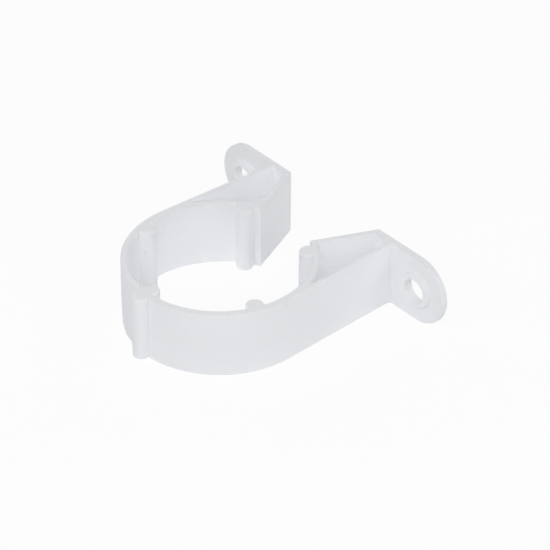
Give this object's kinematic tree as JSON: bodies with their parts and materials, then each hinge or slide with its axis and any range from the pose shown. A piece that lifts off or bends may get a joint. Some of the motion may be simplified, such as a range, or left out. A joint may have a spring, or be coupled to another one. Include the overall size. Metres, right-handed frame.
{
  "type": "pipe clip",
  "caption": "Moulded plastic clip that holds a waste pipe off a wall: an open band with inner grip ribs, on hollow arms that end in ears with collared screw holes.",
  "frame": {"origin": "on the pipe's axis, at half of the clip's height", "axes": "+Z along the pipe, +Y from the pipe towards the wall, +X along the wall from ear to ear"},
  "size_m": [0.091, 0.0704, 0.0198],
  "materials": {
    "plastic": "satin"
  },
  "bodies": {
    "root": {"pipe_clip": "plastic"}
  },
  "joints": []
}
